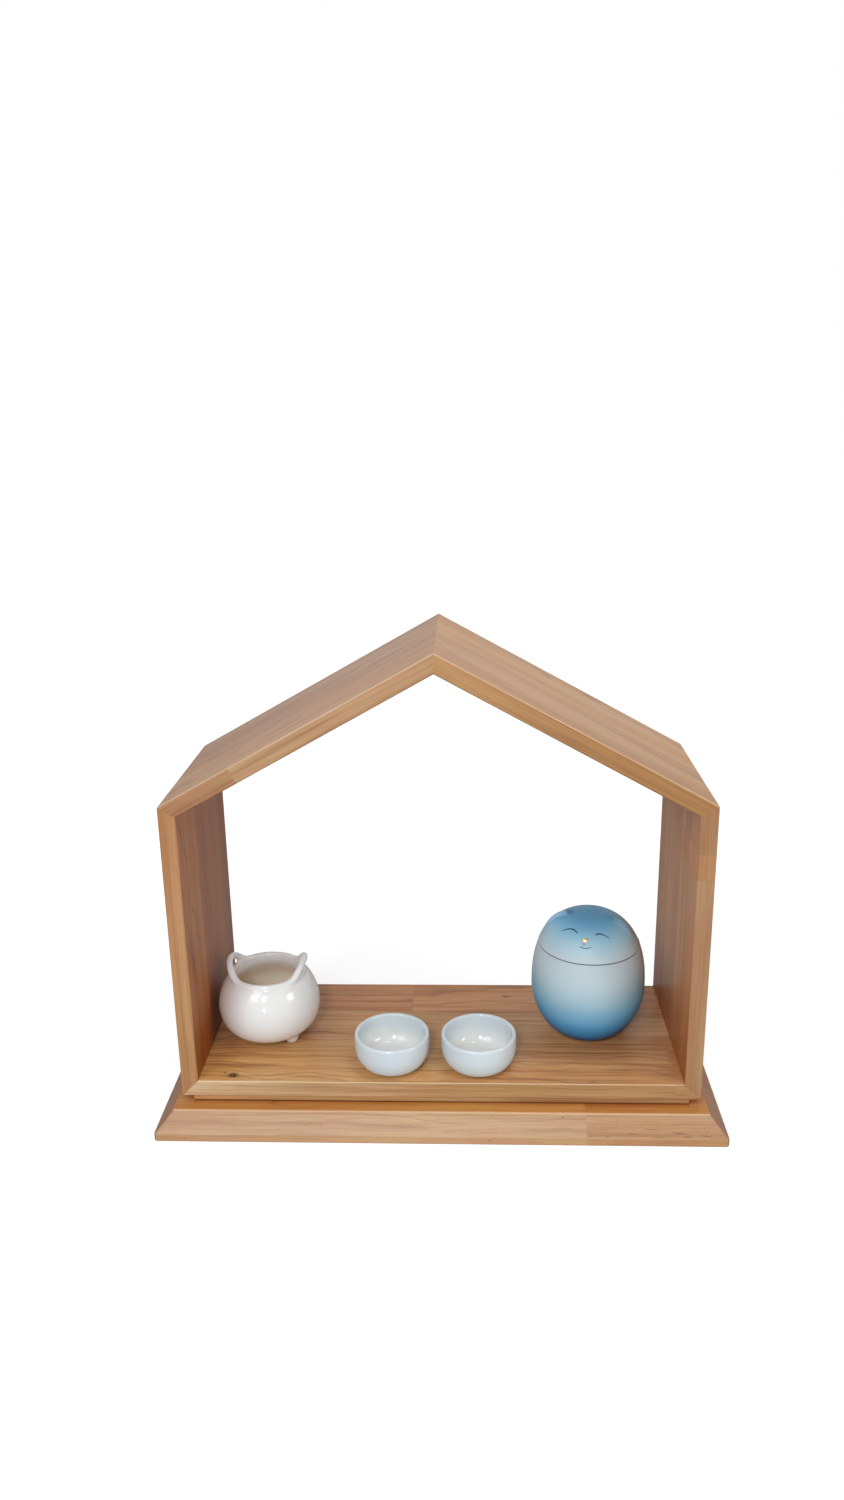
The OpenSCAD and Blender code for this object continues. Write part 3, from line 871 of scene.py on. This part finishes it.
def buildBowls():
    b = bowl
    outside, inside = bowlOutlines()
    for side in ("left", "right"):
        centre = standingPoint(f"{side}_bowl")
        bm = turnedShape(outside + inside[::-1], centre, 160)
        markInside(bm, centre, inside, b["bottom"] - 0.5 * mm, b["height"], 0.5 * mm)
        glaze = whiteGlaze(f"{side} bowl glaze", glazes["bowl"], centre, b["tinted"])
        newPiece(f"{side}_offering_bowl", bm, [glaze], "shrine", [f"{side}_bowl"])
    print("bowls: 2")


# The urn: a fat egg with a seam, and a sleeping cat's face on its lid.

urn = {
    "radius": 53 * mm, "middle": 48.5 * mm, "height": 121 * mm, "seam": 90 * mm, "base": 22.5 * mm,
    "wall": 4.5 * mm, "lowPower": 1.76, "topPower": 2.45, "seamRound": 1.1 * mm, "seamGap": 0.3 * mm,
    "hollowBase": 0.4 * mm, "spigotDepth": 8 * mm, "spigotThickness": 3 * mm, "spigotClearance": 0.8 * mm,
    "spigotRound": 0.8 * mm, "seamShade": (0.05, 0.055, 0.055), "sideShadeRise": 11 * mm,
    # Height above the floor in millimetres, and colour of the glaze there; the near-black stops at the foot
    # are deep blue glaze and painted shade
    "bodyColours": [(0, (0.002, 0.008, 0.025)), (5, (0.008, 0.06, 0.18)), (13, (0.036, 0.20, 0.46)),
                    (30, (0.125, 0.38, 0.62)), (48, (0.29, 0.49, 0.61)), (66, (0.48, 0.61, 0.67)),
                    (90, (0.53, 0.62, 0.66))],
    "lidColours": [(88, (0.56, 0.65, 0.68)), (97, (0.48, 0.63, 0.70)), (106, (0.36, 0.59, 0.72)),
                   (113, (0.24, 0.50, 0.69)), (121, (0.11, 0.36, 0.62))],
    # The face is turned to the left. Bearings and half widths on it are in degrees, and heights,
    # rises, slopes and the line's thickness in millimetres.
    "faceTurn": -12.2, "paint": (0.022, 0.080, 0.165),
    # Eyes and mouth: bearing, height, half width, rise, slope, thickness
    "arcs": [(-27.9, 113.8, 15.1, 2.44, 0.75, 0.46), (27.2, 112.4, 11.3, 2.0, -1.7, 0.46),
             (1.3, 103.0, 8.1, -1.1, 0.2, 0.3312)],
    # The shade under the nose: bearing, height, half width, half height, colour
    "blush": (-1.4, 106.0, 3.9, 2.0, (0.42, 0.33, 0.43)),
    "noseHeight": 108.3, "noseSize": (3.0 * mm, 1.7 * mm, 2.4 * mm), "noseLean": -38,
    # Ears, seen from above: which side, how far out and how far forward their front edge's middle
    # is, how high they rise, how dark the painted shade in their crease is and how pale their painted
    # highlight is towards the middle
    "ears": [(-1, 28.5 * mm, 9.4 * mm, 3.2 * mm, 0.75, 0.45), (1, 30.0 * mm, 11.4 * mm, 1.5 * mm, 0.25, 0.1)],
    # The ears' painted highlight and the painted shade in their crease
    "earHalfWidth": 9.5 * mm, "earDepth": 12.5 * mm, "earHighlight": (0.37, 0.70, 0.98),
    "earCreaseShade": (0.05, 0.20, 0.40),
}


def faceDirections():
    # To the face's own right as seen from the front, and forward
    turn = radians(urn["faceTurn"])
    return Vector((cos(turn), sin(turn), 0)), Vector((sin(turn), -cos(turn), 0))


def urnProfile(turn, inset=0.0):
    u = urn
    return ((u["radius"] - inset) * max(cos(turn), 0) ** (2 / u["topPower"]),
            u["middle"] + (u["height"] - inset - u["middle"]) * sin(turn) ** (2 / u["topPower"]))


def urnTurn(height, inset=0.0):
    # The angle at which the upper outline passes a height
    share = (height - urn["middle"]) / (urn["height"] - inset - urn["middle"])
    return asin(share ** (urn["topPower"] / 2))


def urnCurve(start, end, inset=0.0, steps=24):
    return [urnProfile(start + (end - start) * i / steps, inset) for i in range(steps + 1)]


def heightRamp(height, stops):
    # Colours laid out by height, as the glaze was sprayed
    low, high = stops[0][0], stops[-1][0]
    share = work("ShaderNodeMapRange", {0: height, 1: low * mm, 2: high * mm})
    ramp = addNode(share.socket.id_data, "ShaderNodeValToRGB", {0: share})
    ramp.color_ramp.interpolation = "CARDINAL"
    elements = ramp.color_ramp.elements
    for at, colour in stops[1:-1]:
        elements.new((at - low) / (high - low)).color = (*colour, 1.0)
    elements[0].color, elements[-1].color = (*stops[0][1], 1.0), (*stops[-1][1], 1.0)
    return Value(ramp.outputs[0])


def brushedArcs(bearing, height):
    # Eyes and mouth: an arc's height falls away from its middle, and its ends are thinner
    paint = 0.0
    for middle, top, halfWidth, drop, slope, thickness in urn["arcs"]:
        off = (bearing - middle) / halfWidth
        square = off * off
        line = square * (-drop * mm) + top * mm + off * (slope * mm)
        width = rise(square, 0.4, 1.05, 1.0, 0.5) * (thickness * mm)
        stroke = fall(abs(height - line) / width, 0.55, 1.25) * calc("LESS_THAN", square, 1.0)
        paint = larger(paint, stroke)
    return paint


def blushed(colour, bearing, height):
    # A pink shade under the nose
    middle, level, halfWidth, halfHeight, shade = urn["blush"]
    spot = squares((bearing - middle) / halfWidth, (height - level * mm) / (halfHeight * mm))
    return mix(fall(spot, 0.0, 1.2, 0.75), colour, shade)


def earHighlightAndShade(colour, local):
    # Painted highlight on the ears' fronts: straight in front, arched behind, with painted shade in the
    # crease behind the arch
    toRight, forward = [vectorCalc("DOT_PRODUCT", local, way) for way in faceDirections()]
    polish = 0.0
    for side, outAt, frontAt, lift, dark, innerHighlight in urn["ears"]:
        out = (toRight - side * outAt) * side / urn["earHalfWidth"]
        behind = frontAt - forward
        deep = behind / urn["earDepth"]
        arch = squares(out, deep)
        highlight = fall(arch, 0.55, 1.0) * rise(behind, -0.8 * mm, 0.6 * mm)
        highlight = highlight * rise(out, -1.0, 0.2, innerHighlight, 1.0)
        creaseShade = rise(arch, 0.7, 1.2) * fall(arch, 1.3, 3.2)
        creaseShade = creaseShade * fall(out, -0.3, 0.5, dark) * rise(deep, 0.0, 0.35)
        colour = mix(highlight, mix(creaseShade, colour, urn["earCreaseShade"]), urn["earHighlight"])
        polish = larger(polish, highlight)
    return colour, polish


def urnGlaze(name, stops, centre, face=False):
    look = glazes["urn"]
    material, shader, place = newMaterial(name)
    local = vectorCalc("SUBTRACT", place, centre)
    x, y, height = separate(local)
    bearing = calc("DEGREES", calc("ARCTAN2", x, y * -1.0)) - urn["faceTurn"]
    waves = glazeRelief(shader, place, 45, 0.12, 0.35 * mm)
    sprayedAndShaded = (noise(place, (13, 13, 9), 1) - 0.5) * (3 * mm) + height
    if not face:  # painted shade: the ramp's blue reaches higher at the jar's sides than in front
        sprayedAndShaded = sprayedAndShaded - rise(abs(bearing), 20.0, 80.0, 0.0, urn["sideShadeRise"])
    speckle = noise(place, (900, 900, 900))
    colour = tint(heightRamp(sprayedAndShaded, stops), (0.86, 0.90, 0.93), rise(speckle, 0.35, 0.65, 0.0, 0.06))
    offSeam = abs(height - (urn["seam"] + urn["seamGap"] / 2))
    # Painted shade in the seam between lid and jar
    colour = mix(fall(offSeam, 0.25 * mm, 0.75 * mm, 0.8), colour, urn["seamShade"])
    roughness = waves * 0.10 + (look["roughness"] - 0.05)
    if face:
        colour, polish = earHighlightAndShade(blushed(colour, bearing, height), local)
        colour = mix(brushedArcs(bearing, height), colour, urn["paint"])
        roughness = roughness - polish * 0.06  # the ears are a little smoother
    feed(shader, {"Base Color": colour, "Roughness": roughness})
    lacquer(shader, look)
    return material


def urnLining():
    material, shader, place = newMaterial("urn lining")
    waves = glazeRelief(shader, place, 70, 0.3, 0.4 * mm)
    speckle = noise(place, (700, 700, 700), 3)
    tone = Vector(glazes["urn"]["lining"])
    feed(shader, {"Base Color": mix(rise(speckle, 0.35, 0.7), tone, tone * 0.88),
                  "Roughness": waves * 0.1 + 0.32})
    return material


def gilding():
    material, shader, place = newMaterial("gilding")
    rub = noise(place, (900, 900, 900), 3)
    feed(shader, {"Base Color": mix(rise(rub, 0.35, 0.7), (0.95, 0.82, 0.46), (0.84, 0.64, 0.28)),
                  "Roughness": rub * 0.2 + 0.16,
                  "Metallic": 0.75})
    return material


def buildJar(centre, seamRadius, mouth, lining):
    u = urn
    r = u["seamRound"]
    foot = footRing(u["base"], 2 * mm, u["hollowBase"])
    outside = (swell(u["base"], u["hollowBase"], u["radius"], u["middle"], u["lowPower"], 32)
               + urnCurve(0, urnTurn(u["seam"] - r), 0, 28)[1:]
               + arc(seamRadius - r, u["seam"] - r, r, (25, 50, 75, 90)))
    inside = (swell(u["base"], u["wall"], u["radius"] - u["wall"], u["middle"], u["lowPower"], 20)
              + urnCurve(0, urnTurn(u["seam"] - 0.6 * mm, u["wall"]), u["wall"], 20)[1:]
              + [(mouth + 0.3 * mm, u["seam"])])
    bm = turnedShape(foot + outside + inside[::-1] + [(0, u["wall"])], centre, 160)
    margin = u["wall"] / 2
    for face in bm.faces:
        face.material_index = int(isInside(face.calc_center_median() - centre, inside, margin, 1, margin))
    glaze = urnGlaze("urn body glaze", u["bodyColours"], centre)
    newPiece("urn_jar", bm, [glaze, lining], "shrine", ["urn_body"])


def raiseEars(bm, dome, centre):
    # Low mounds pulled out of the dome, steeper behind
    u = urn
    normals = {vert: vert.normal.copy() for vert in dome}
    right, front = faceDirections()
    for side, outAt, frontAt, lift, dark, innerHighlight in u["ears"]:
        for vert in dome:
            away = vert.co - centre
            out = (away.dot(right) * side - outAt) / (u["earHalfWidth"] * 1.15)
            behind = (frontAt - away.dot(front)) / u["earDepth"] - 0.45
            arch = squares(out, behind / (0.62 if behind > 0 else 0.95))
            if arch < 4:
                vert.co += normals[vert] * lift / (1 + arch ** 2)
    for turn in range(2):
        smoothVerts(bm, [vert for vert in bm.verts if vert.co.z > centre.z + 96 * mm])


def buildLid(centre, seamRadius, mouth, lining):
    u = urn
    r, ease = u["seamRound"], u["spigotRound"]
    foot, spigotFoot = u["seam"] + u["seamGap"], u["seam"] - u["spigotDepth"]
    spigot = mouth - u["spigotClearance"]
    spigotInside = spigot - u["spigotThickness"]
    outside = ([(spigot, foot)] + arc(seamRadius - r, foot + r, r, (-90, -70, -45, -20))
               + urnCurve(urnTurn(foot + r), pi / 2, 0, 72))
    hollow = ([(spigot, spigotFoot + ease), (spigot - ease, spigotFoot), (spigotInside + ease, spigotFoot),
               (spigotInside, spigotFoot + ease), (spigotInside, foot)]
              + [point for point in urnCurve(urnTurn(u["seam"] + 1 * mm, u["wall"]), pi / 2, u["wall"], 30)
                 if point[0] < spigotInside])
    bm = turnedShape(hollow[::-1] + outside, centre, 256)
    heart = centre + Vector((0, 0, u["middle"]))
    for face in bm.faces:
        middle = face.calc_center_median()
        outer = face.normal.dot(middle - heart) > 0 and middle.z - centre.z > foot + 0.2 * mm
        face.material_index = int(not outer)
    dome = [vert for vert in bm.verts
            if vert.co.z > centre.z + foot + 3 * mm and vert.normal.dot(vert.co - heart) > 0]
    raiseEars(bm, dome, centre)
    glaze = urnGlaze("urn lid glaze", u["lidColours"], centre, face=True)
    newPiece("urn_lid_cat", bm, [glaze, lining], "lid", ["urn_lid"])


def buildNose(centre):
    # A gilded bead, flattened against the lid
    u = urn
    bearing = radians(u["faceTurn"] - 90)
    reach, height = urnProfile(urnTurn(u["noseHeight"] * mm))
    reach -= 0.3 * mm
    bm = bmesh.new()
    bmesh.ops.create_uvsphere(bm, u_segments=40, v_segments=24, radius=1)
    bmesh.ops.scale(bm, verts=bm.verts, vec=u["noseSize"])
    for vert in bm.verts:
        vert.co.x *= 1 + 0.2 * vert.co.z / u["noseSize"][2]  # wider above, like a cat's nose
    turn = Matrix.Rotation(bearing + pi / 2, 3, "Z") @ Matrix.Rotation(radians(u["noseLean"]), 3, "X")
    bmesh.ops.rotate(bm, verts=bm.verts, cent=(0, 0, 0), matrix=turn)
    spot = centre + Vector((cos(bearing) * reach, sin(bearing) * reach, height))
    bmesh.ops.translate(bm, verts=bm.verts, vec=spot)
    newPiece("urn_gilded_nose", bm, [gilding()], "lid", ["urn_nose"])


def buildUrn():
    centre = standingPoint("urn_body")
    seamRadius = urnProfile(urnTurn(urn["seam"]))[0]
    mouth = urnProfile(urnTurn(urn["seam"], urn["wall"]), urn["wall"])[0]
    lining = urnLining()
    buildJar(centre, seamRadius, mouth, lining)
    buildLid(centre, seamRadius, mouth, lining)
    buildNose(centre)
    print("urn: jar, lid and nose")


# The stage: a pale floor that runs into white, soft lights, and the camera.

stage = {
    "floorColour": (0.80, 0.80, 0.80), "floorSeen": (0.36, 0.36, 0.36),
    "floorGlow": 0.80, "whiteFrom": 0.36, "whiteTo": 0.75,
    "ambient": 0.31, "ambientColour": (0.97, 0.985, 1.0),
}

# Name, place, what it is aimed at, width and height, watts, colour
lamps = [
    ("window", (-0.24, -1.85, 1.38), (-0.05, 0, 0.12), (0.30, 0.60), 14.8, (0.97, 0.985, 1.0)),
    ("sideWindow", (-1.05, -1.50, 1.50), (0, 0, 0.12), (0.85, 1.30), 13.0, (0.94, 0.97, 1.0)),
    ("fill", (1.55, -0.80, 0.85), (-0.16, 0, 0.10), (0.52, 0.52), 6.8, (1.0, 0.99, 0.97)),
    ("lowWindow", (-0.26, -1.90, 0.36), (-0.05, 0, 0.10), (0.11, 0.18), 2.2, (0.95, 0.975, 1.0)),
    ("ceiling", (0.40, -0.30, 1.75), (0.05, 0, 0.12), (0.36, 0.36), 4.8, (1.0, 0.985, 0.96)),
]

view = {"at": (0.0279129, -0.9429621, 0.614742), "yaw": 0.0443, "pitch": 0.298946, "roll": -0.017249,
        "lens": 26.782}


def lightPath(tree, *names):
    # Which kinds of ray are asking: 1 for any of those named
    rays = addNode(tree, "ShaderNodeLightPath").outputs
    share = Value(rays[names[0]])
    for name in names[1:]:
        share = larger(share, Value(rays[name]))
    return share


def buildFloor():
    bm = bmesh.new()
    bmesh.ops.create_grid(bm, x_segments=1, y_segments=1, size=12)
    floor = addObject("studio_floor", meshOf(bm))
    material, shader, place = newMaterial("studio floor")
    seen = lightPath(material.node_tree, "Is Camera Ray")
    away = vectorCalc("LENGTH", place)
    glow = rise(away, stage["whiteFrom"], stage["whiteTo"], stage["floorGlow"], 1.0)
    feed(shader, {"Base Color": mix(seen, stage["floorColour"], stage["floorSeen"]),
                  "Roughness": 0.9, "Specular IOR Level": 0.0,
                  "Emission Color": (1, 1, 1, 1), "Emission Strength": seen * glow})
    floor.data.materials.append(material)


def buildWorld():
    world = bpy.data.worlds.new("studio")
    bpy.context.scene.world = world
    world.use_nodes = True
    direct = lightPath(world.node_tree, "Is Camera Ray", "Is Glossy Ray", "Is Transmission Ray")
    feed(world.node_tree.nodes["Background"],
         {"Color": mix(direct, stage["ambientColour"], (1, 1, 1)),
          "Strength": work("ShaderNodeMapRange", {0: direct, 3: stage["ambient"], 4: 1.0})})


def buildLamps():
    for name, place, aim, size, power, colour in lamps:
        light = bpy.data.lights.new(name, "AREA")
        light.shape, light.size, light.size_y = "RECTANGLE", *size
        light.energy, light.color = power, colour
        holder = addObject(name, light)
        holder.location = place
        holder.rotation_euler = (Vector(aim) - Vector(place)).to_track_quat("-Z", "Y").to_euler()


def buildCamera():
    camera = addObject("camera", bpy.data.cameras.new("camera"))
    camera.data.lens, camera.data.sensor_width, camera.data.clip_end = view["lens"], 36, 50
    turns = ((view["yaw"], "Z"), (pi / 2 - view["pitch"], "X"), (view["roll"], "Z"))
    place = Matrix.Translation(view["at"])
    for angle, axis in turns:
        place = place @ Matrix.Rotation(angle, 4, axis)
    camera.matrix_world = place
    bpy.context.scene.camera = camera
    bpy.context.scene.view_settings.view_transform = "Standard"


def buildStage():
    buildFloor()
    buildWorld()
    buildLamps()
    buildCamera()
    print("stage: floor, world, lamps and camera")


buildStage()
buildHouse()
buildPlinth()
buildBurner()
buildBowls()
buildUrn()
